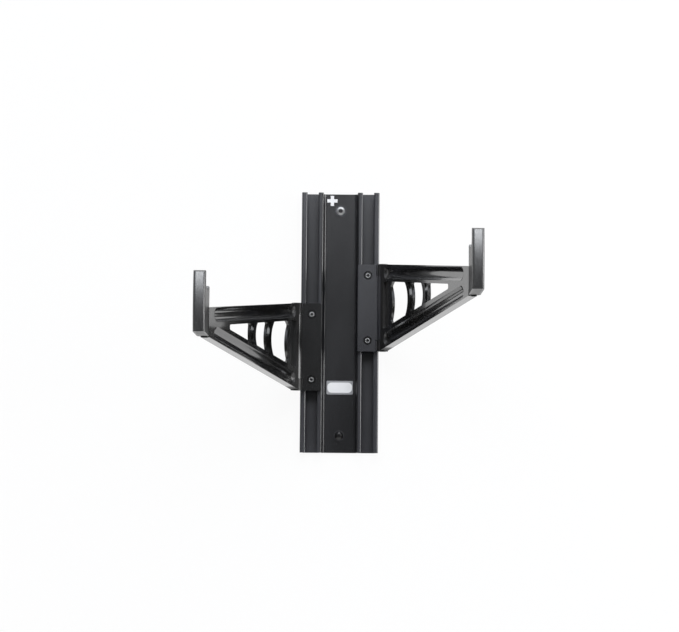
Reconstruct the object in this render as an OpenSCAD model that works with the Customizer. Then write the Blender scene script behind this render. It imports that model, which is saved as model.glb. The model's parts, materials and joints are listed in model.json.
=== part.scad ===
// Bicycle wall rack: an extruded wall track with two brackets that slide up and down in its
// T-slots. Each bracket hinges a cast truss arm, and each arm ends in a swivelling cradle with
// a rubber cover. The wall is the plane Y = 0, the rack reaches towards -Y, and the origin is
// the middle of the track's back. Arms are drawn along +X from their hinge, cradles along +X
// from their pivot, and both are then turned into place.

/* [Wall track] */
// Height of the track
track_h = 304.8; // [260:0.2:500]
// Width of the track
track_w = 91; // [89:0.5:100]
// Depth of the track, from the wall to the front of its lips
track_d = 19; // [17:0.5:24]
// Thickness of the track's back
track_back = 3; // [2.4:0.1:4]
// Distance of each T-slot's middle from the track's middle
slot_x = 32.5; // [31.5:0.1:33.5]
// Width of a T-slot inside
slot_room = 19; // [17:0.5:20]
// Width of a T-slot's mouth
slot_mouth = 13; // [11:0.5:14]
// Thickness of the lips beside the mouth
lip_t = 2.5; // [2:0.1:3.5]
// Thickness of the wall between a T-slot and the middle recess
rib_t = 3; // [2:0.1:4]
// Fillet at the foot of the wall beside the middle recess
foot_r = 4; // [1:0.5:6]
// Rounding of the lips' front edges
lip_r = 2; // [0.5:0.1:2.2]

/* [Wall screws] */
// Distance of each wall screw from the end of the track
screw_inset = 20; // [15:0.5:40]
// Diameter of a wall screw
screw_d = 6; // [4:0.5:8]
// Length of a wall screw under its head
screw_l = 50; // [30:1:80]
// Diameter of a wall screw's head
screw_head_d = 9.6; // [9.6:0.1:14]
// Outer diameter of a wall screw's washer
screw_washer_d = 13; // [12:0.5:20]
// Thickness of a wall screw's washer
screw_washer_t = 1.2; // [0.8:0.1:2]

/* [Brackets] */
// Height of a bracket
bracket_h = 101.6; // [90:0.2:110]
// Distance of a bracket's inner edge from the track's middle
bracket_in = 20.5; // [19:0.5:22]
// Distance of a bracket's outer edge from the track's middle
bracket_out = 43; // [41:0.5:43]
// Thickness of a bracket's plate
bracket_t = 8; // [7:0.5:9]
// Rounding of a bracket's outer edge
bracket_edge_r = 1.5; // [1:0.5:3]
// Rounding of a bracket's inner edge
bracket_inner_r = 0.9; // [0.3:0.1:2]
// Rounding of a bracket's corners
bracket_corner_r = 2.5; // [1:0.5:5]
// Height of the left bracket's middle above the track's middle
left_z = -30; // [-80:1:80]
// Height of the right bracket's middle above the track's middle
right_z = 16; // [-80:1:80]
// Distance between a bracket's two bolts
bolt_gap = 76.2; // [50:0.2:80]
// Diameter of a bracket bolt
bolt_d = 5; // [4:0.5:6]
// Diameter of a bracket bolt's head
bolt_head_d = 8.5; // [8.5:0.1:10]
// Height of a bracket bolt's head
bolt_head_h = 5; // [3:0.1:5]
// Size of the hexagon socket in the bolts, across its corners
hex_d = 4.6; // [3:0.1:5]

/* [Hinge] */
// Distance of a hinge's axis from the track's middle
hinge_x = 50; // [50:0.1:53]
// Distance of a hinge's axis from the wall
hinge_y = 28.5; // [28:0.1:32]
// Outer diameter of the hinge knuckles
knuckle_d = 12.7; // [12:0.1:13]
// Height of the bracket's part of the hinge, bush flanges included
knuckle_h = 76.2; // [60:0.2:80]
// Diameter of the hinge pin
pin_d = 8; // [6:0.1:8]
// Wall of a hinge bush
bush_wall = 1; // [0.8:0.1:1.2]
// Length of a hinge bush inside its knuckle
bush_l = 12; // [6:0.5:20]
// Thickness of a hinge bush's flange
bush_flange = 1; // [0.6:0.1:2]

/* [Truss arms] */
// Length of an arm, from its hinge to its cradle's pivot
arm_l = 248; // [230:1:280]
// Thickness of an arm
arm_t = 10; // [8:0.5:11]
// Thickness of an arm's web, in its troughs and round its windows
arm_web = 3.2; // [2.8:0.1:4]
// Angle by which each arm splays out from the straight-ahead direction
splay = 22; // [0:1:45]
// Height of an arm at its tip
tip_h = 30.3; // [28:0.1:36]
// Drop of the arm's top edge from the hinge to the pivot
top_drop = 26.5; // [10:0.1:32]
// Height of the upper beam
upper_beam = 19.8; // [18.5:0.1:22]
// Height of the lower beam at the hinge
lower_beam = 22.8; // [20:0.1:24]
// Height of the lower beam at the tip
lower_beam_tip = 20.8; // [19:0.1:23]
// Width of the troughs along the beams
trough_w = 15; // [10:0.5:15]
// Width of the rim outside the troughs at the hinge
trough_rim = 1.8; // [1:0.1:2.5]
// Width of the rim outside the troughs at the tip
trough_rim_tip = 1; // [0.8:0.1:2]
// Length of the plain plate at the tip, from the troughs to the pivot
tip_plate_l = 17; // [12:0.5:25]
// Distance from the hinge at which the web round the windows starts
web_start = 12; // [9:0.5:14]
// Radius of the windows' corners
window_r = 2; // [1:0.1:2.5]
// Start of the first window
window_1_start = 21; // [18:0.5:26]
// Length of the first window
window_1_l = 45.5; // [30:0.5:47]
// Start of the second window
window_2_start = 85; // [84:0.5:92]
// Length of the second window
window_2_l = 27.5; // [15:0.5:29]
// Start of the third window
window_3_start = 131; // [130:0.5:138]
// Length of the third window
window_3_l = 61; // [30:0.5:62]
// Width of the rib along each strut
strut_rib_w = 5; // [3:0.5:7]
// Thickness of the arm at a strut's rib
strut_rib_t = 6.4; // [4:0.1:8]

/* [Cradles] */
// Width of a cradle
cradle_w = 12.7; // [12.7:0.1:20]
// Reach of a cradle, from its pivot to its front face
cradle_l = 66.6; // [60:0.1:90]
// Height of a cradle's front, from its bottom edge to the top of its finger
cradle_h = 63.5; // [55:0.1:80]
// Height of the seat above the top of the arm's tip
seat_rise = 15.5; // [14:0.5:20]
// Height of the lip behind the seat
rear_lip = 6; // [4:0.5:8]
// Thickness of the finger from front to back
finger_t = 13.7; // [10:0.1:18]
// Radius of the seat's corners
seat_r = 9; // [4:0.5:12]
// Thickness of the rubber cover
cover_t = 2; // [1.5:0.1:3]
// Rounding of the cover's front edges
cover_r = 3; // [1:0.1:3.5]
// Radius of the bulge of a cradle's front, from top to bottom
cradle_front_r = 150; // [120:10:1000]
// Radius of the dome on a finger's top
finger_dome_r = 9; // [8:0.5:20]
// Diameter of a cradle's pivot bolt
pivot_d = 5; // [4:0.5:5]
// Height of the cradle's lower ear
low_ear_h = 5; // [4:0.5:8]

/* [Fits] */
// Radial clearance of a turning fit
turn_fit = 0.05; // [0.02:0.01:0.1]
// Clearance between a knuckle and what turns past it
swing_gap = 0.6; // [0.4:0.1:1]
// Clearance between the T-nuts and the T-slot
slide_gap = 0.3; // [0.2:0.05:0.5]

/* [Hidden] */

$fn = 96;
far = 500; // longer than any cut has to reach
skin = 1; // overshoot of a cut through a face

anodised = [0.13, 0.13, 0.15];
casting = [0.07, 0.07, 0.07];
rubber = [0.28, 0.28, 0.29];
steel = [0.62, 0.62, 0.64];
black_steel = [0.10, 0.10, 0.11];
black_nylon = [0.16, 0.16, 0.17];

screw_z = track_h / 2 - screw_inset;
knuckle_r = knuckle_d / 2;
ear_h = (bracket_h - knuckle_h) / 2;
counterbore = bolt_head_h + 0.2;
bolt_grip = bracket_t - counterbore;
nut_t = 5;
nut_h = 16;
pivot_nut_h = 5;
pivot_nut_d = 9.2;
pivot_head_d = 8.5;
pivot_head_h = 2.2;
pivot_recess = pivot_head_h + 0.2; // the bolt's head lies flush with the ear's underside
pivot_washer_t = 1;
pin_inset = 0.5;
pin_chamfer = 0.6;
trough_start = 22; // of the troughs' round ends near the hinge
wide_arc_fn = 240;
soft_corner_fn = 32;

// The arm's outline, in its own frame: x from the hinge, z from the bracket's middle.
function top_z(x) = bracket_h / 2 - top_drop * x / arm_l;
tip_top = top_z(arm_l);
tip_bottom = tip_top - tip_h;
function bottom_z(x) = -bracket_h / 2 + (tip_bottom + bracket_h / 2) * x / arm_l;
function window_top(x) = top_z(x) - upper_beam;
function window_bottom(x) = bottom_z(x) + lower_beam + (lower_beam_tip - lower_beam) * x / arm_l;

// The windows, each as its two sides, nearest the hinge first. A side is [place along the arm,
// bow towards the tip]; the last window ends in a straight side.
WINDOWS = [
    [[window_1_start, 11], [window_1_start + window_1_l, 8.5]],
    [[window_2_start, 4.9], [window_2_start + window_2_l, 4.7]],
    [[window_3_start, 1.5], [window_3_start + window_3_l, 0]]
];

// The cradle's heights, in the arm's frame.
cradle_bottom = tip_bottom;
cradle_top = cradle_bottom + cradle_h;
seat_z = tip_top + seat_rise;
lip_z = seat_z + rear_lip;
tip_knuckle_bottom = cradle_bottom + low_ear_h + pivot_washer_t;
hub_bottom = tip_top + pivot_washer_t;
hub_gap = knuckle_r + swing_gap; // where the cradle's neck starts, in front of the pivot
cover_start = hub_gap + 2;
seat_back = cover_start + 3.5;
seat_front = cradle_l - finger_t;
bulge_z = (cradle_bottom + cradle_top) / 2;
bulge_depth = cradle_front_r - sqrt(pow(cradle_front_r, 2) - pow(cradle_h / 2, 2));
finger_top_middle = (seat_front + cradle_l - bulge_depth) / 2;

// Rounds a convex corner at the origin whose material lies towards -X and -Y.
module corner_cut(r) {
    translate([-r, -r])
        difference() {
            square(r + skin);
            circle(r);
        }
}

// A rectangle from the origin with all its corners rounded.
module round_rect(w, h, r) {
    translate([r, 0]) square([w - 2 * r, h]);
    translate([0, r]) square([w, h - 2 * r]);
    for (x = [r, w - r], y = [r, h - r])
        translate([x, y]) circle(r);
}

// A washer or plain tube standing on the origin.
module ring(outer_d, inner_d, h) {
    difference() {
        cylinder(d = outer_d, h = h);
        translate([0, 0, -skin]) cylinder(d = inner_d, h = h + 2 * skin);
    }
}

// Places what is drawn for the right-hand side on either side of the track.
module on_side(side) {
    if (side > 0) children();
    else mirror([1, 0, 0]) children();
}

function bracket_z(side) = side > 0 ? right_z : left_z;

module at_bracket(side) {
    on_side(side) translate([0, 0, bracket_z(side)]) children();
}

// From the arm's frame to the bracket's.
module at_hinge(side) {
    at_bracket(side)
        translate([hinge_x, -hinge_y, 0]) rotate([0, 0, splay - 90]) children();
}

// From the cradle's frame to the arm's: the cradle stands square to the wall.
module at_pivot(side) {
    at_hinge(side)
        translate([arm_l, 0, 0]) rotate([0, 0, -splay]) children();
}

// ---- Wall track ----

// A lip of a T-slot, its front edges rounded.
module lip(w) {
    difference() {
        square([w, lip_t]);
        translate([w, 0]) mirror([0, 1]) corner_cut(lip_r);
        rotate(180) corner_cut(lip_r);
    }
}

module track_profile() {
    wall_in = slot_x - slot_room / 2 - rib_t;
    translate([-track_w / 2, -track_back]) square([track_w, track_back]);
    for (side = [0, 1])
        mirror([side, 0]) {
            // walls on each side of the T-slot, stopping inside the rounded lips
            translate([wall_in, -track_d + lip_r]) square([rib_t, track_d - lip_r]);
            translate([slot_x + slot_room / 2, -track_d + lip_r])
                square([track_w / 2 - slot_x - slot_room / 2, track_d - lip_r]);
            translate([wall_in, -track_d]) lip(slot_x - slot_mouth / 2 - wall_in);
            translate([slot_x + slot_mouth / 2, -track_d])
                lip(track_w / 2 - slot_x - slot_mouth / 2);
            translate([wall_in, -track_back])
                difference() {
                    translate([-foot_r, -foot_r]) square(foot_r + skin);
                    translate([-foot_r, -foot_r]) circle(foot_r);
                    translate([0, -foot_r]) square(foot_r + skin);
                }
        }
}

module wall_track() {
    color(anodised)
        difference() {
            translate([0, 0, -track_h / 2])
                linear_extrude(track_h) track_profile();
            for (z = [-screw_z, screw_z])
                translate([0, skin, z]) rotate([90, 0, 0])
                    cylinder(d = screw_d + 0.6, h = track_back + 2 * skin);
        }
}

// A wall screw standing head up: dome head, neck, thread at its outer diameter, and point.
module wall_screw() {
    head_h = screw_head_d * 0.36;
    brim_h = head_h * 0.35;
    dome_r = (pow(screw_head_d / 2, 2) + pow(head_h - brim_h, 2)) / (2 * (head_h - brim_h));
    neck_l = track_back + screw_washer_t + 2;
    point_l = screw_d * 1.2;
    difference() {
        union() {
            cylinder(d = screw_head_d, h = brim_h);
            intersection() {
                translate([0, 0, head_h - dome_r]) sphere(dome_r);
                cylinder(d = screw_head_d, h = head_h);
            }
        }
        translate([0, 0, head_h * 0.4]) cylinder(d = hex_d, h = head_h, $fn = 6);
    }
    translate([0, 0, -neck_l]) cylinder(d = screw_d * 0.8, h = neck_l);
    translate([0, 0, -screw_l + point_l]) cylinder(d = screw_d, h = screw_l - point_l - neck_l);
    translate([0, 0, -screw_l]) cylinder(d1 = 0.6, d2 = screw_d, h = point_l);
}

module wall_screws() {
    color(black_steel)
        for (z = [-screw_z, screw_z])
            translate([0, -track_back - screw_washer_t, z]) rotate([90, 0, 0]) wall_screw();
}

module wall_washers() {
    color(black_steel)
        for (z = [-screw_z, screw_z])
            translate([0, -track_back, z]) rotate([90, 0, 0])
                ring(screw_washer_d, screw_d + 0.4, screw_washer_t);
}

// ---- Brackets ----

module bracket_plate_profile() {
    w = bracket_out - bracket_in;
    translate([bracket_in, -track_d - bracket_t])
        difference() {
            square([w, bracket_t]);
            translate([w, 0]) mirror([0, 1]) corner_cut(bracket_edge_r);
            rotate(180) corner_cut(bracket_inner_r);
        }
}

module bracket(side) {
    barrel_h = knuckle_h - 2 * bush_flange;
    color(anodised)
        at_bracket(side)
        difference() {
            union() {
                intersection() {
                    translate([0, 0, -bracket_h / 2])
                        linear_extrude(bracket_h) bracket_plate_profile();
                    translate([bracket_in, 0, -bracket_h / 2]) rotate([90, 0, 0])
                        linear_extrude(far)
                            round_rect(bracket_out - bracket_in, bracket_h, bracket_corner_r);
                }
                // the hinge barrel and the web that carries it
                translate([hinge_x, -hinge_y, -barrel_h / 2])
                    cylinder(d = knuckle_d, h = barrel_h);
                translate([bracket_out - bracket_edge_r - skin, -track_d - bracket_t, -barrel_h / 2])
                    cube([hinge_x - bracket_out + bracket_edge_r + skin,
                          track_d + bracket_t - hinge_y + knuckle_r, barrel_h]);
            }
            translate([hinge_x, -hinge_y, -far]) cylinder(d = pin_d + 2 * swing_gap, h = 2 * far);
            for (end = [-1, 1])
                translate([hinge_x, -hinge_y, end * barrel_h / 2])
                    cylinder(d = pin_d + 2 * bush_wall + 2 * turn_fit, h = 2 * bush_l, center = true);
            for (end = [-1, 1])
                translate([slot_x, -track_d, end * bolt_gap / 2]) rotate([90, 0, 0]) {
                    translate([0, 0, -skin]) cylinder(d = bolt_d + 0.5, h = bracket_t + 2 * skin);
                    translate([0, 0, bolt_grip]) cylinder(d = bolt_head_d + 1.3, h = bracket_t);
                }
        }
}

// A socket-head bolt, its head standing on the origin and its shank below.
module socket_bolt(d, l, head_d, head_h) {
    difference() {
        cylinder(d = head_d, h = head_h);
        translate([0, 0, head_h * 0.45]) cylinder(d = hex_d, h = head_h, $fn = 6);
    }
    translate([0, 0, -l]) cylinder(d = d, h = l);
}

module bracket_bolts(side) {
    color(black_steel)
        at_bracket(side)
        for (end = [-1, 1])
            translate([slot_x, -track_d - bolt_grip, end * bolt_gap / 2]) rotate([90, 0, 0])
                socket_bolt(bolt_d, bolt_grip + lip_t + nut_t + 1, bolt_head_d, bolt_head_h);
}

// A T-nut: its base bears on the backs of the lips and its nose keeps it square in the mouth.
module t_nut() {
    base_w = slot_room - 2 * slide_gap;
    nose_w = slot_mouth - 2 * slide_gap;
    difference() {
        union() {
            translate([-base_w / 2, 0, -nut_h / 2]) cube([base_w, nut_t, nut_h]);
            translate([-nose_w / 2, -lip_t + slide_gap, -nut_h / 2])
                cube([nose_w, lip_t, nut_h]);
        }
        rotate([90, 0, 0]) cylinder(d = bolt_d, h = far, center = true);
    }
}

module t_nuts(side) {
    color(steel)
        at_bracket(side)
        for (end = [-1, 1])
            translate([slot_x, -track_d + lip_t, end * bolt_gap / 2]) t_nut();
}

// ---- Hinges ----

module hinge_bushes(side) {
    color(black_nylon)
        at_bracket(side)
        for (end = [0, 1])
            mirror([0, 0, end])
                translate([hinge_x, -hinge_y, knuckle_h / 2 - bush_flange]) {
                    ring(knuckle_d, pin_d + 2 * turn_fit, bush_flange);
                    translate([0, 0, -bush_l])
                        ring(pin_d + 2 * bush_wall + 2 * turn_fit, pin_d + 2 * turn_fit,
                             bush_l + bush_flange);
                }
}

module hinge_pin(side) {
    pin_h = bracket_h - 2 * pin_inset;
    color(steel)
        at_bracket(side)
        translate([hinge_x, -hinge_y, -pin_h / 2]) {
            cylinder(d1 = pin_d - 2 * pin_chamfer, d2 = pin_d, h = pin_chamfer);
            translate([0, 0, pin_chamfer]) cylinder(d = pin_d, h = pin_h - 2 * pin_chamfer);
            translate([0, 0, pin_h - pin_chamfer])
                cylinder(d1 = pin_d, d2 = pin_d - 2 * pin_chamfer, h = pin_chamfer);
        }
}

// ---- Truss arms ----

// The disc whose edge is a window side: it passes through the side's ends at place[0] and
// bulges by place[1] at mid-height. grow moves that edge towards the tip.
module bow(place, grow = 0) {
    z1 = window_top(place[0]);
    z2 = window_bottom(place[0]);
    half = (z1 - z2) / 2;
    r = (half * half + place[1] * place[1]) / (2 * place[1]);
    translate([place[0] + place[1] - r, (z1 + z2) / 2]) circle(r + grow, $fn = wide_arc_fn);
}

// The space between the two beams from x1 to x2, widened by grow.
module between_beams(x1, x2, grow = 0) {
    polygon([
        [x1, window_top(x1) + grow], [x2, window_top(x2) + grow],
        [x2, window_bottom(x2) - grow], [x1, window_bottom(x1) - grow]
    ]);
}

module soften(r) {
    offset(r = r, $fn = soft_corner_fn) offset(delta = -r) children();
}

module window(root, tip) {
    soften(window_r)
        difference() {
            intersection() {
                between_beams(root[0], tip[0] + tip[1]);
                if (tip[1] > 0) bow(tip);
                else between_beams(root[0], tip[0]);
            }
            bow(root);
        }
}

// The face of the web, sunk between the beams from the hinge's column to the last window's end.
module sunk_face() {
    soften(window_r) between_beams(web_start, WINDOWS[2][1][0]);
}

// The rib along the strut between two windows, following the mean of their facing sides.
module strut_rib(before, after) {
    middle = (before + after) / 2;
    intersection() {
        between_beams(before[0], after[0] + after[1], skin);
        difference() {
            bow(middle, strut_rib_w / 2);
            bow(middle, -strut_rib_w / 2);
        }
    }
}

// The troughs, each from its round end near the hinge to the one behind the tip plate.
trough_depth = (arm_t - arm_web) / 2;
trough_r = (pow(trough_w / 2, 2) + pow(trough_depth, 2)) / (2 * trough_depth);
trough_end = arm_l - tip_plate_l - trough_w / 2;
upper_a = [trough_start, top_z(trough_start) - trough_rim - trough_w / 2];
upper_b = [trough_end, top_z(trough_end) - trough_rim_tip - trough_w / 2];
lower_a = [trough_start, bottom_z(trough_start) + trough_rim + trough_w / 2];
lower_b = [trough_end, bottom_z(trough_end) + trough_rim_tip + trough_w / 2];

// A trough of round section along both faces of a beam, from a to b.
module trough(a, b) {
    dir = atan2(b[1] - a[1], b[0] - a[0]);
    l = norm([b[0] - a[0], b[1] - a[1]]);
    for (face = [-1, 1])
        translate([a[0], face * (arm_web / 2 + trough_r), a[1]]) rotate([0, 90 - dir, 0]) {
            cylinder(r = trough_r, h = l);
            sphere(trough_r);
            translate([0, 0, l]) sphere(trough_r);
        }
}

// Extrudes an outline drawn in the arm's plane through its thickness, about its middle.
module through_arm(t) {
    rotate([90, 0, 0]) linear_extrude(t, center = true) children();
}

module arm(side) {
    color(casting)
        at_hinge(side)
        difference() {
            union() {
                difference() {
                    through_arm(arm_t)
                        polygon([[0, top_z(0)], [arm_l, tip_top], [arm_l, tip_bottom], [0, bottom_z(0)]]);
                    trough(upper_a, upper_b);
                    trough(lower_a, lower_b);
                    for (face = [-1, 1])
                        translate([0, face * (arm_web / 2 + trough_depth), 0])
                            through_arm(2 * trough_depth) sunk_face();
                    for (w = WINDOWS)
                        through_arm(arm_t + 2 * skin) window(w[0], w[1]);
                }
                for (i = [0, 1])
                    through_arm(strut_rib_t) strut_rib(WINDOWS[i][1], WINDOWS[i + 1][0]);
                for (end = [-1, 1])
                    translate([0, 0, end * (bracket_h - ear_h) / 2])
                        cylinder(d = knuckle_d, h = ear_h, center = true);
                translate([arm_l, 0, tip_bottom]) cylinder(d = knuckle_d, h = tip_h);
            }
            // room for the bracket's barrel between the ears
            cylinder(r = knuckle_r + swing_gap, h = knuckle_h, center = true);
            // bores of the hinge pin and the cradle's pivot bolt
            cylinder(d = pin_d, h = far, center = true);
            translate([arm_l, 0, 0]) cylinder(d = pivot_d + 2 * turn_fit, h = far, center = true);
            // room for the cradle's two ears
            translate([arm_l, 0, tip_knuckle_bottom - far]) cylinder(r = hub_gap, h = far);
            translate([arm_l, 0, tip_top]) cylinder(r = hub_gap, h = far);
        }
}

// ---- Cradles ----

// The cradle's side outline from its neck to its finger, with every covered edge moved in.
module cradle_outline(start, inset) {
    back = seat_back - inset;
    front = seat_front + inset;
    r = seat_r + inset;
    floor_z = seat_z - inset;
    dome_z = cradle_top - finger_dome_r;
    difference() {
        translate([start, cradle_bottom])
            square([cradle_l - start, cradle_top - inset - cradle_bottom]);
        // the seat
        translate([back, floor_z + r]) square([front - back, far]);
        translate([back + r, floor_z]) square([front - back - 2 * r, far]);
        for (x = [back + r, front - r])
            translate([x, floor_z + r]) circle(r);
        // above the rear lip
        translate([start - skin, lip_z - inset]) square([back - start + 2 * skin, far]);
        // the finger's domed top
        translate([front, dome_z])
            difference() {
                square(far);
                translate([finger_top_middle - front, 0]) circle(finger_dome_r - inset);
            }
    }
}

module through_cradle(w) {
    rotate([90, 0, 0]) linear_extrude(w, center = true) children();
}

// Lays a disc across the cradle, with its rim along the bulge of the cradle's front.
module at_bulge() {
    translate([cradle_l - cradle_front_r, 0, bulge_z]) rotate([90, 0, 0]) children();
}

// The tongue that the cover is pulled over.
module cradle_tongue() {
    intersection() {
        through_cradle(cradle_w - 2 * cover_t) cradle_outline(0, cover_t);
        at_bulge() cylinder(r = cradle_front_r - cover_t, h = cradle_w, center = true, $fn = wide_arc_fn);
    }
}

module cradle_core(side) {
    color(black_nylon)
        at_pivot(side)
        difference() {
            union() {
                cradle_tongue();
                // the neck beside the cover, as wide as the cradle
                through_cradle(cradle_w)
                    translate([0, cradle_bottom]) square([cover_start, lip_z - cradle_bottom]);
                translate([0, 0, cradle_bottom])
                    cylinder(d = cradle_w, h = lip_z - cradle_bottom);
            }
            // the slot that takes the arm's tip
            translate([0, 0, cradle_bottom + low_ear_h])
                cylinder(r = hub_gap, h = hub_bottom - cradle_bottom - low_ear_h);
            translate([-far, -far, cradle_bottom + low_ear_h])
                cube([far, 2 * far, hub_bottom - cradle_bottom - low_ear_h]);
            cylinder(d = pivot_d, h = far, center = true);
            translate([0, 0, cradle_bottom - skin])
                cylinder(d = pivot_head_d + 0.8, h = skin + pivot_recess);
            translate([0, 0, lip_z - pivot_nut_h - 1]) cylinder(d = pivot_nut_d, h = far, $fn = 6);
        }
}

module cradle_cover(side) {
    color(rubber)
        at_pivot(side)
        difference() {
            intersection() {
                through_cradle(cradle_w + 2 * skin) cradle_outline(cover_start, 0);
                // the bulged front, with its edges rounded
                at_bulge()
                    rotate_extrude($fn = wide_arc_fn)
                    difference() {
                        translate([0, -cradle_w / 2]) square([cradle_front_r, cradle_w]);
                        for (end = [0, 1])
                            mirror([0, end])
                                translate([cradle_front_r, cradle_w / 2]) corner_cut(cover_r);
                    }
            }
            cradle_tongue();
        }
}

module pivot_bolt(side) {
    color(black_steel)
        at_pivot(side)
        translate([0, 0, cradle_bottom + pivot_recess]) rotate([180, 0, 0])
            socket_bolt(pivot_d, lip_z - cradle_bottom - pivot_recess - 0.5, pivot_head_d,
                        pivot_head_h);
}

module pivot_nut(side) {
    color(steel)
        at_pivot(side)
        translate([0, 0, lip_z - pivot_nut_h - 1])
        difference() {
            cylinder(d = pivot_nut_d, h = pivot_nut_h, $fn = 6);
            translate([0, 0, -skin]) cylinder(d = pivot_d, h = pivot_nut_h + 2 * skin);
        }
}

module pivot_washers(side) {
    color(black_nylon)
        at_pivot(side)
        for (z = [tip_knuckle_bottom - pivot_washer_t, tip_top])
            translate([0, 0, z]) ring(cradle_w - 1, pivot_d + 2 * turn_fit, pivot_washer_t);
}

wall_track();
wall_screws();
wall_washers();
bracket(-1);  // left_bracket
bracket_bolts(-1);  // left_bracket_bolts
t_nuts(-1);  // left_t_nuts
hinge_bushes(-1);  // left_hinge_bushes
hinge_pin(-1);  // left_hinge_pin
arm(-1);  // left_arm
cradle_core(-1);  // left_cradle_core
cradle_cover(-1);  // left_cradle_cover
pivot_bolt(-1);  // left_pivot_bolt
pivot_nut(-1);  // left_pivot_nut
pivot_washers(-1);  // left_pivot_washers
bracket(1);  // right_bracket
bracket_bolts(1);  // right_bracket_bolts
t_nuts(1);  // right_t_nuts
hinge_bushes(1);  // right_hinge_bushes
hinge_pin(1);  // right_hinge_pin
arm(1);  // right_arm
cradle_core(1);  // right_cradle_core
cradle_cover(1);  // right_cradle_cover
pivot_bolt(1);  // right_pivot_bolt
pivot_nut(1);  // right_pivot_nut
pivot_washers(1);  // right_pivot_washers
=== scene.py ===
"""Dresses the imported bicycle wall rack: finishes, prints, wall, floor, lights and camera.

Lengths are in metres, in the CAD's frame: +Z up, +Y into the wall, and the origin in the middle
of the track's back.
"""
import json
import math

import bmesh
import bpy
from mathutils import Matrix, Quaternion, Vector


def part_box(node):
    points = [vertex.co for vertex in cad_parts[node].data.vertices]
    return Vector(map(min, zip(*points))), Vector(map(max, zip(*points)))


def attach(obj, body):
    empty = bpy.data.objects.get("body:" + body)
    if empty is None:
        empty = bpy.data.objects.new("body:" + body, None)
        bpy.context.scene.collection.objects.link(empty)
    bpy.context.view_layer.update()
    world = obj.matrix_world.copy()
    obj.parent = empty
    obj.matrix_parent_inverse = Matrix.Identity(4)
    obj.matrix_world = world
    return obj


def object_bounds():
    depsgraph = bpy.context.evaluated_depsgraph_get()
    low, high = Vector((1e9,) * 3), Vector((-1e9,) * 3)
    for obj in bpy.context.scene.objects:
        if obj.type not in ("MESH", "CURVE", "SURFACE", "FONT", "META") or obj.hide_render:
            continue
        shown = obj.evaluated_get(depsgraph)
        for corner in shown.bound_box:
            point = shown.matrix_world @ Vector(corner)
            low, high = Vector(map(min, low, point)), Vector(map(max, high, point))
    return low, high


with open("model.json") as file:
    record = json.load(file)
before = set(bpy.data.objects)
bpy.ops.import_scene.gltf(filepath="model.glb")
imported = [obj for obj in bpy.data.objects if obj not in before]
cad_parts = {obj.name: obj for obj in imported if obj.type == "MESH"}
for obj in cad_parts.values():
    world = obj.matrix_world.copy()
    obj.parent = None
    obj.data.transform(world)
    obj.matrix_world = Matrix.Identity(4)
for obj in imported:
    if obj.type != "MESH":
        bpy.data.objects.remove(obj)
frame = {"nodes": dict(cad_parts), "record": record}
cad_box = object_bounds()

MM = 0.001

# The camera stands in front of the track, a little to its right and below it.
CAMERA_AT = Vector((11.0, -2455.0, -202.3)) * MM
CAMERA_LENS = 111.0  # mm
SENSOR_WIDTH = 36.0  # mm
CAMERA_ROLL = math.radians(0.5)
AIM_Y = -0.1  # the depth that the camera and the lamps are aimed at, in front of the track

# The stage
FLOOR_Z = -1.6
ROOM = 9.0  # width of the wall and the floor, and height of the wall
FLOOR_DEPTH = 2.4
FADE_FROM, FADE_TO = 0.5, 1.6  # from the rack, or the point under it, to where all is plain white
WALL_Y = 0.4 * MM  # just clear of the track's back, so that the two faces never coincide

# Places in the finishes
SLOTS_FROM = 22 * MM  # from the track's middle, past which its T-slots lie, painted lighter there as painted light
SLOT_EDGE = 0.5 * MM  # half the width over which the grey changes there
DULL_TO, GLOSS_FROM = 15 * MM, 24 * MM  # from the hinge's axis
BOLT_GLINT_RING = (1.1 * MM, 2.5 * MM)  # inner and outer radius of the bright ring, a painted glint
BOLT_GLINT_DEPTH = 2 * MM  # behind the front of the bolts' heads
SCREW_GLINT_RING = (2.6 * MM, 4.9 * MM)
GLINT_EDGE = 0.15 * MM  # half the width of the ring's soft edges

# The prints on the track
PLUS_SIZE, PLUS_STROKE = 12 * MM, 4 * MM
PLUS_X = -10.0 * MM
PLUS_BELOW_TOP = 7.7 * MM
LABEL_X = 0.5 * MM
LABEL_ABOVE_FOOT = 76.4 * MM
LABEL_GROUND = (31 * MM, 16 * MM, 1.5 * MM)  # width, height and corner radius
LABEL_FIELD = (29 * MM, 12 * MM, 5 * MM)
INK_THICKNESS = 0.1 * MM
FILM_THICKNESS = 0.15 * MM


# ---- Shader nodes ----

def new_material(name):
    mat = bpy.data.materials.new(name)
    mat.use_nodes = True
    mat.node_tree.nodes.clear()
    return mat, mat.node_tree


def node(tree, kind, inputs=None, **settings):
    """Adds a node, sets its properties, and sets or links its inputs."""
    n = tree.nodes.new(kind)
    for key, value in settings.items():
        setattr(n, key, value)
    for key, value in (inputs or {}).items():
        if isinstance(value, bpy.types.NodeSocket):
            tree.links.new(value, n.inputs[key])
        else:
            n.inputs[key].default_value = value
    return n


def grey(v, tint=(1.0, 1.0, 1.0)):
    return (v * tint[0], v * tint[1], v * tint[2], 1.0)


def rest_point(tree):
    """Object coordinates: where a point is at rest, whatever the pose."""
    return node(tree, "ShaderNodeTexCoord").outputs["Object"]


def parts_of(tree, vector):
    """The X, Y and Z of a vector."""
    return node(tree, "ShaderNodeSeparateXYZ", {"Vector": vector}).outputs


def place(tree, scale=(1.0, 1.0, 1.0)):
    """Object coordinates, stretched."""
    return node(tree, "ShaderNodeMapping", {"Vector": rest_point(tree), "Scale": scale}).outputs["Vector"]


def noise(tree, vector, scale, detail=3.0, roughness=0.5):
    """Noise with about as many grains to the metre as scale says."""
    n = node(tree, "ShaderNodeTexNoise", {"Vector": vector, "Scale": scale, "Detail": detail,
                                          "Roughness": roughness})
    return n.outputs["Fac"]


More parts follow.
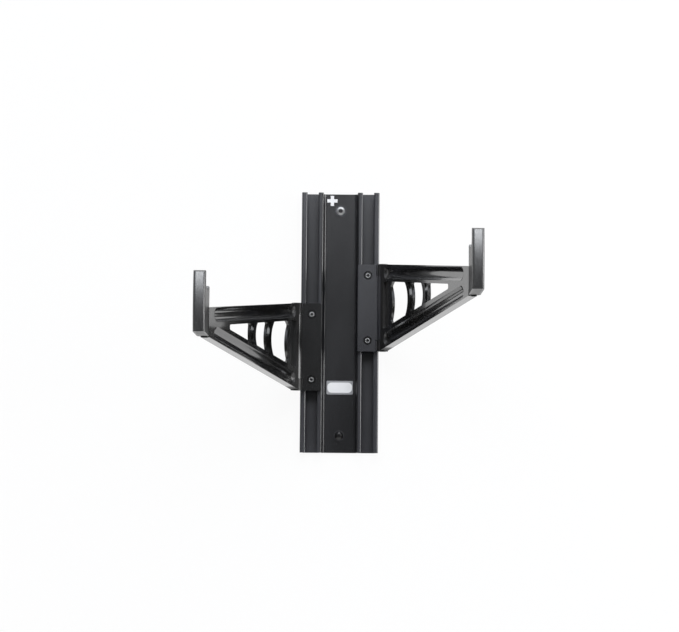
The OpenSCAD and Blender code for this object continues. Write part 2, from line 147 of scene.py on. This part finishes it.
def ramp(tree, fac, low, high, out_low=0.0, out_high=1.0):
    """Maps fac from low..high to out_low..out_high, clamped."""
    n = node(tree, "ShaderNodeMapRange", {"Value": fac, "From Min": low, "From Max": high,
                                          "To Min": out_low, "To Max": out_high})
    return n.outputs["Result"]


def maths(tree, operation, *values):
    return node(tree, "ShaderNodeMath", dict(enumerate(values)), operation=operation).outputs[0]


def distance(tree, a, b):
    return node(tree, "ShaderNodeVectorMath", {0: a, 1: b}, operation="DISTANCE").outputs["Value"]


# A Mix node has sockets of one name for each kind of data. These are the ones for colours.
MIX_FACTOR, MIX_A, MIX_B, MIX_RESULT = 0, 6, 7, 2


def mix(tree, fac, a, b):
    """Colour a where fac is 0, and colour b where it is 1."""
    n = node(tree, "ShaderNodeMix", {MIX_FACTOR: fac, MIX_A: a, MIX_B: b}, data_type="RGBA")
    return n.outputs[MIX_RESULT]


def mix_shader(tree, fac, a, b):
    return node(tree, "ShaderNodeMixShader", {0: fac, 1: a, 2: b}).outputs[0]


def bump(tree, height, strength, depth):
    return node(tree, "ShaderNodeBump", {"Height": height, "Strength": strength,
                                         "Distance": depth}).outputs["Normal"]


def surface(tree, inputs):
    shader = node(tree, "ShaderNodeBsdfPrincipled", inputs)
    node(tree, "ShaderNodeOutputMaterial", {"Surface": shader.outputs["BSDF"]})


# ---- Finishes ----

def anodised_black(name, value, tint, rough, past_x=None, painted_light_value=None):
    """Extruded aluminium, satin black, with faint draw lines along the extrusion.

    Where past_x is given, the grey farther than that from the middle is painted_light_value, a lighter
    grey painted in as the light caught in the T-slot channels.
    """
    mat, tree = new_material(name)
    lines = noise(tree, place(tree, (1.0, 1.0, 0.004)), scale=300.0, detail=2.0)
    cloud = noise(tree, place(tree, (1.0, 1.0, 0.4)), scale=22.0, detail=4.0)
    patch = ramp(tree, cloud, 0.35, 0.65)

    def clouded(v):
        return mix(tree, patch, grey(v * 0.85, tint), grey(v * 1.15, tint))

    colour = clouded(value)
    if past_x is not None:
        away = maths(tree, "ABSOLUTE", parts_of(tree, rest_point(tree))["X"])
        past = ramp(tree, away, past_x - SLOT_EDGE, past_x + SLOT_EDGE)
        colour = mix(tree, past, colour, clouded(painted_light_value))
    surface(tree, {"Base Color": colour, "IOR": 1.75,
                   "Roughness": ramp(tree, cloud, 0.3, 0.7, rough - 0.02, rough + 0.02),
                   "Normal": bump(tree, lines, strength=0.015, depth=0.00003)})
    return mat


def casting_black():
    """Gloss black enamel over a casting, with a faint orange peel and a clear coat.

    Round the hinge, in the ends of the troughs, the enamel is dull and has no coat.
    """
    mat, tree = new_material("casting_black")
    peel = noise(tree, place(tree), scale=420.0, detail=2.0)
    wave = noise(tree, place(tree), scale=30.0, detail=3.0)
    colour = mix(tree, ramp(tree, wave, 0.35, 0.65), grey(0.003), grey(0.005, (1.1, 1.0, 0.85)))
    skin = bump(tree, peel, strength=0.06, depth=0.00008)
    at = parts_of(tree, rest_point(tree))
    # Both hinges at once: the left side is mirrored onto the right.
    flat = node(tree, "ShaderNodeCombineXYZ", {"X": maths(tree, "ABSOLUTE", at["X"]), "Y": at["Y"]})
    low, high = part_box("right_hinge_pin")
    hinge = ((low.x + high.x) / 2, (low.y + high.y) / 2, 0.0)
    away = distance(tree, flat.outputs[0], hinge)
    dull = ramp(tree, away, DULL_TO, GLOSS_FROM, 0.3, 0.0)
    surface(tree, {"Base Color": colour, "IOR": 1.7,
                   "Roughness": maths(tree, "ADD", ramp(tree, wave, 0.3, 0.7, 0.16, 0.22), dull),
                   "Coat Weight": ramp(tree, away, DULL_TO, GLOSS_FROM), "Coat Roughness": 0.07,
                   "Coat IOR": 1.6, "Normal": skin, "Coat Normal": skin})
    return mat


def rubber_cover():
    """Dark satin rubber with a mottled, finely grained skin."""
    mat, tree = new_material("rubber_cover")
    grain = noise(tree, place(tree), scale=1500.0, detail=3.0, roughness=0.6)
    mottle = noise(tree, place(tree, (1.0, 1.0, 0.6)), scale=700.0, detail=4.0, roughness=0.6)
    colour = mix(tree, ramp(tree, mottle, 0.36, 0.64), grey(0.010), grey(0.026))
    surface(tree, {"Base Color": colour, "Roughness": ramp(tree, mottle, 0.3, 0.7, 0.32, 0.42),
                   "IOR": 2.1, "Normal": bump(tree, grain, strength=0.1, depth=0.00006)})
    return mat


def moulded_plastic(name, dark, light):
    """Satin plastic with a slight clouding and the fine grain of its mould."""
    mat, tree = new_material(name)
    grain = noise(tree, place(tree), scale=1100.0, detail=2.0)
    cloud = noise(tree, place(tree), scale=60.0, detail=3.0)
    surface(tree, {"Base Color": mix(tree, cloud, grey(dark), grey(light)),
                   "Roughness": ramp(tree, cloud, 0.3, 0.7, 0.35, 0.45),
                   "Normal": bump(tree, grain, strength=0.15, depth=0.00005)})
    return mat


def steel(name, dark, light, rough, tint):
    """Machined steel with a fine tooth and a slight clouding."""
    mat, tree = new_material(name)
    fine = noise(tree, place(tree), scale=700.0, detail=3.0)
    cloud = noise(tree, place(tree), scale=120.0, detail=3.0)
    surface(tree, {"Base Color": mix(tree, cloud, grey(dark, tint), grey(light, tint)),
                   "Metallic": 1.0,
                   "Roughness": ramp(tree, fine, 0.3, 0.7, rough - 0.06, rough + 0.08),
                   "Normal": bump(tree, fine, strength=0.08, depth=0.00003)})
    return mat


def painted_glint_steel(name, axes, inner, outer, head_back):
    """Black oxide on screws, with a painted glint: a bright metal ring round each axis, given by X and Z.

    The rings are on the heads' faces, in front of the plane Y = head_back.
    """
    mat, tree = new_material(name)
    at = parts_of(tree, rest_point(tree))
    flat = node(tree, "ShaderNodeCombineXYZ", {"X": at["X"], "Z": at["Z"]}).outputs[0]
    cloud = noise(tree, place(tree), scale=500.0, detail=3.0)
    away = None
    for x, z in axes:
        d = distance(tree, flat, (x, 0.0, z))
        away = d if away is None else maths(tree, "MINIMUM", away, d)
    past_inner = ramp(tree, away, inner - GLINT_EDGE, inner + GLINT_EDGE)
    before_outer = ramp(tree, away, outer - GLINT_EDGE, outer + GLINT_EDGE, 1.0, 0.0)
    on_head = ramp(tree, at["Y"], head_back - GLINT_EDGE, head_back, 1.0, 0.0)
    # The bright metal ring is a painted glint of the socket's edge.
    ring = maths(tree, "MULTIPLY", maths(tree, "MULTIPLY", past_inner, before_outer), on_head)
    colour = mix(tree, ring, grey(0.05), mix(tree, cloud, grey(0.6), grey(0.8)))
    surface(tree, {"Base Color": colour, "Metallic": 1.0,
                   "Roughness": ramp(tree, ring, 0.0, 1.0, 0.28, 0.5)})
    return mat


def printed(name, value, rough, tint=(1.0, 1.0, 1.0)):
    """Ink or label film with a slight clouding and a fine tooth."""
    mat, tree = new_material(name)
    tooth = noise(tree, place(tree), scale=2500.0, detail=2.0)
    cloud = noise(tree, place(tree), scale=150.0, detail=3.0)
    surface(tree, {"Base Color": mix(tree, cloud, grey(value * 0.93, tint), grey(value, tint)),
                   "Roughness": ramp(tree, cloud, 0.3, 0.7, rough, rough + 0.1),
                   "Normal": bump(tree, tooth, strength=0.1, depth=0.00002)})
    return mat


# ---- The CAD nodes' finishes ----

# By the record's material slots
MATERIALS = {
    # The track's T-slot channels get a lighter grey: painted light.
    "black_anodised": anodised_black("track_anodised", value=0.011, tint=(0.99, 1.0, 1.11),
                                     rough=0.23, past_x=SLOTS_FROM, painted_light_value=0.037),
    "black_casting": casting_black(),
    "rubber_cover": rubber_cover(),
    "black_nylon": moulded_plastic("black_nylon", dark=0.012, light=0.018),
    "black_steel": steel("black_steel", dark=0.16, light=0.24, rough=0.2, tint=(0.97, 0.98, 1.03)),
    "zinc_steel": steel("zinc_steel", dark=0.5, light=0.62, rough=0.28, tint=(0.97, 0.98, 1.0)),
}


def dress(name, material):
    frame["nodes"][name].data.materials[0] = material


def pair_axes(name):
    """The X and Z of each screw of an upper and lower pair, upper first."""
    low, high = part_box(name)
    middle, head_r = (low.x + high.x) / 2, (high.x - low.x) / 2
    return [(middle, high.z - head_r), (middle, low.z + head_r)]


def dress_cad_nodes():
    slots = {part["node"]: part["material_slot"] for part in frame["record"]["subparts"]}
    for name, obj in frame["nodes"].items():
        obj.data.materials.clear()
        obj.data.materials.append(MATERIALS[slots[name]])
    # Lit and shaded copies of one finish: right bracket lighter and bluer, painted light; left darker,
    # painted shade.
    dress("left_bracket", anodised_black("left_anodised_painted_shade", value=0.007, tint=(1.0, 1.0, 1.03), rough=0.2))
    dress("right_bracket", anodised_black("right_anodised_painted_light", value=0.018, tint=(0.98, 1.0, 1.2),
                                          rough=0.28))
    # Each bolt head gets a bright ring: a painted glint.
    for bolts in ("left_bracket_bolts", "right_bracket_bolts"):
        head_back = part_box(bolts)[0].y + BOLT_GLINT_DEPTH
        dress(bolts, painted_glint_steel(bolts, pair_axes(bolts), *BOLT_GLINT_RING, head_back))
    # Of the wall screws only the upper one gets the bright ring, in front of its washer: a painted
    # highlight of the light from above.
    upper = pair_axes("wall_screws")[:1]
    head_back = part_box("wall_washers")[0].y
    dress("wall_screws", painted_glint_steel("wall_screws", upper, *SCREW_GLINT_RING, head_back))


# ---- Prints on the track ----

def flat_piece(name, outline, thickness, at, material):
    """A thin plate with a bevelled front edge, from its outline in X and Z, lying on the track."""
    bm = bmesh.new()
    bevel_from, bevel_in = 0.6 * thickness, 0.4 * thickness
    rings = []
    for inset, depth in ((0.0, 0.0), (0.0, bevel_from), (bevel_in, thickness)):
        rings.append([bm.verts.new((at.x + x - math.copysign(inset, x), at.y - depth,
                                    at.z + z - math.copysign(inset, z))) for x, z in outline])
    for a, b in zip(rings, rings[1:]):
        for i in range(len(a)):
            k = (i + 1) % len(a)
            bm.faces.new((a[i], a[k], b[k], b[i]))
    bm.faces.new(rings[-1])
    bm.faces.new(list(reversed(rings[0])))
    bmesh.ops.recalc_face_normals(bm, faces=bm.faces)
    mesh = bpy.data.meshes.new(name)
    bm.to_mesh(mesh)
    bm.free()
    obj = bpy.data.objects.new(name, mesh)
    bpy.context.scene.collection.objects.link(obj)
    mesh.materials.append(material)
    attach(obj, "track")


def rounded_outline(width, height, radius, steps=8):
    """A rectangle whose rounded corners have the given number of steps each."""
    points = []
    for sx, sz, start in ((1, 1, 0), (-1, 1, 90), (-1, -1, 180), (1, -1, 270)):
        cx, cz = sx * (width / 2 - radius), sz * (height / 2 - radius)
        for k in range(steps + 1):
            a = math.radians(start + 90 * k / steps)
            points.append((cx + radius * math.cos(a), cz + radius * math.sin(a)))
    return points


def plus_outline(size, stroke):
    a, b = size / 2, stroke / 2
    return [(a, b), (b, b), (b, a), (-b, a), (-b, b), (-a, b),
            (-a, -b), (-b, -b), (-b, -a), (b, -a), (b, -b), (a, -b)]


def track_prints():
    """A plain plus sign near the top, and a blank two-tone label in place of the maker's."""
    low, high = cad_box
    face_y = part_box("wall_washers")[1].y  # the washers lie on the face that the prints are on
    ink = printed("white_ink", value=0.85, rough=0.45)
    flat_piece("plus_mark", plus_outline(PLUS_SIZE, PLUS_STROKE), INK_THICKNESS,
               Vector((PLUS_X, face_y, high.z - PLUS_BELOW_TOP)), ink)
    at = Vector((LABEL_X, face_y, low.z + LABEL_ABOVE_FOOT))
    flat_piece("label_ground", rounded_outline(*LABEL_GROUND), FILM_THICKNESS, at,
               printed("label_silver", value=0.3, rough=0.35, tint=(0.98, 0.99, 1.02)))
    flat_piece("label_field", rounded_outline(*LABEL_FIELD), INK_THICKNESS,
               at - Vector((0, FILM_THICKNESS, 0)), ink)


# ---- Wall, floor, light and camera ----

def stage_material(name, value, white_share, middle):
    """A matt surface that the camera, and what mirrors it, sees mostly as plain white.

    Away from middle it fades to full white, so that its edges don't show. From behind it is clear.
    """
    mat, tree = new_material(name)
    paint = node(tree, "ShaderNodeBsdfDiffuse", {"Color": grey(value)}).outputs["BSDF"]
    white = node(tree, "ShaderNodeEmission", {"Color": grey(1.0), "Strength": 1.0}).outputs[0]
    away = distance(tree, rest_point(tree), middle)
    plain = ramp(tree, away, FADE_FROM, FADE_TO, white_share, 1.0)
    path = node(tree, "ShaderNodeLightPath").outputs
    seen = maths(tree, "MAXIMUM", path["Is Camera Ray"], path["Is Glossy Ray"])
    front = mix_shader(tree, maths(tree, "MULTIPLY", seen, plain), paint, white)
    back = node(tree, "ShaderNodeNewGeometry").outputs["Backfacing"]
    clear = node(tree, "ShaderNodeBsdfTransparent").outputs["BSDF"]
    node(tree, "ShaderNodeOutputMaterial", {"Surface": mix_shader(tree, back, front, clear)})
    return mat


def plane(name, corners, material):
    mesh = bpy.data.meshes.new(name)
    mesh.from_pydata(corners, [], [(0, 1, 2, 3)])
    obj = bpy.data.objects.new(name, mesh)
    bpy.context.scene.collection.objects.link(obj)
    mesh.materials.append(material)


def room():
    half = ROOM / 2
    top = FLOOR_Z + ROOM
    plane("wall", [(-half, WALL_Y, FLOOR_Z), (half, WALL_Y, FLOOR_Z), (half, WALL_Y, top),
                   (-half, WALL_Y, top)],
          stage_material("wall_white", value=0.85, white_share=0.93, middle=(0.0, 0.0, 0.0)))
    plane("floor", [(-half, -FLOOR_DEPTH, FLOOR_Z), (half, -FLOOR_DEPTH, FLOOR_Z),
                    (half, WALL_Y, FLOOR_Z), (-half, WALL_Y, FLOOR_Z)],
          stage_material("floor_white", value=0.8, white_share=0.85, middle=(0.0, 0.0, FLOOR_Z)))


def world_light():
    """Soft light from above, dim from the sides and below. The camera sees plain white instead."""
    world = bpy.data.worlds.new("studio")
    bpy.context.scene.world = world
    world.use_nodes = True
    tree = world.node_tree
    tree.nodes.clear()
    direction = node(tree, "ShaderNodeTexCoord").outputs["Generated"]
    up = ramp(tree, parts_of(tree, direction)["Z"], 0.08, 0.5)
    sky = mix(tree, up, grey(0.07), grey(0.8, (0.93, 0.97, 1.06)))
    light = node(tree, "ShaderNodeBackground", {"Color": sky, "Strength": 1.0}).outputs[0]
    white = node(tree, "ShaderNodeBackground", {"Color": grey(1.0), "Strength": 1.0}).outputs[0]
    camera_ray = node(tree, "ShaderNodeLightPath").outputs["Is Camera Ray"]
    node(tree, "ShaderNodeOutputWorld", {"Surface": mix_shader(tree, camera_ray, light, white)})


def softbox(name, at, width, height, watts, colour=(1.0, 1.0, 1.0)):
    """A rectangular lamp, aimed at the rack."""
    lamp = bpy.data.lights.new(name, "AREA")
    lamp.shape = "RECTANGLE"
    lamp.size, lamp.size_y = width, height
    lamp.energy = watts
    lamp.color = colour
    obj = bpy.data.objects.new(name, lamp)
    bpy.context.scene.collection.objects.link(obj)
    obj.location = at
    aim = Vector((0, AIM_Y, 0)) - Vector(at)
    obj.rotation_euler = aim.to_track_quat("-Z", "Y").to_euler()


def lamps():
    """One high in front, one overhead, and one on the right that lights the edges on that side."""
    softbox("front_box", (0.1, -2.62, 1.5), width=2.2, height=1.15, watts=55, colour=(0.97, 0.99, 1.02))
    softbox("top_box", (0.4, -1.0, 2.0), width=1.4, height=1.0, watts=14, colour=(0.98, 0.99, 1.0))
    softbox("right_box", (1.56, -0.64, 0.18), width=1.25, height=0.6, watts=12)


def camera():
    data = bpy.data.cameras.new("camera")
    data.lens = CAMERA_LENS
    data.sensor_width = SENSOR_WIDTH
    obj = bpy.data.objects.new("camera", data)
    bpy.context.scene.collection.objects.link(obj)
    low, high = cad_box
    middle = Vector(((low.x + high.x) / 2, AIM_Y, (low.z + high.z) / 2))
    obj.location = CAMERA_AT
    # Aimed at the middle of the rack, and rolled a little, as a hand-held camera is
    aim = (middle - CAMERA_AT).to_track_quat("-Z", "Y")
    obj.rotation_euler = (aim @ Quaternion((0, 0, 1), CAMERA_ROLL)).to_euler()
    bpy.context.scene.camera = obj


dress_cad_nodes()
track_prints()
room()
world_light()
lamps()
camera()
bpy.context.scene.view_settings.view_transform = "Standard"
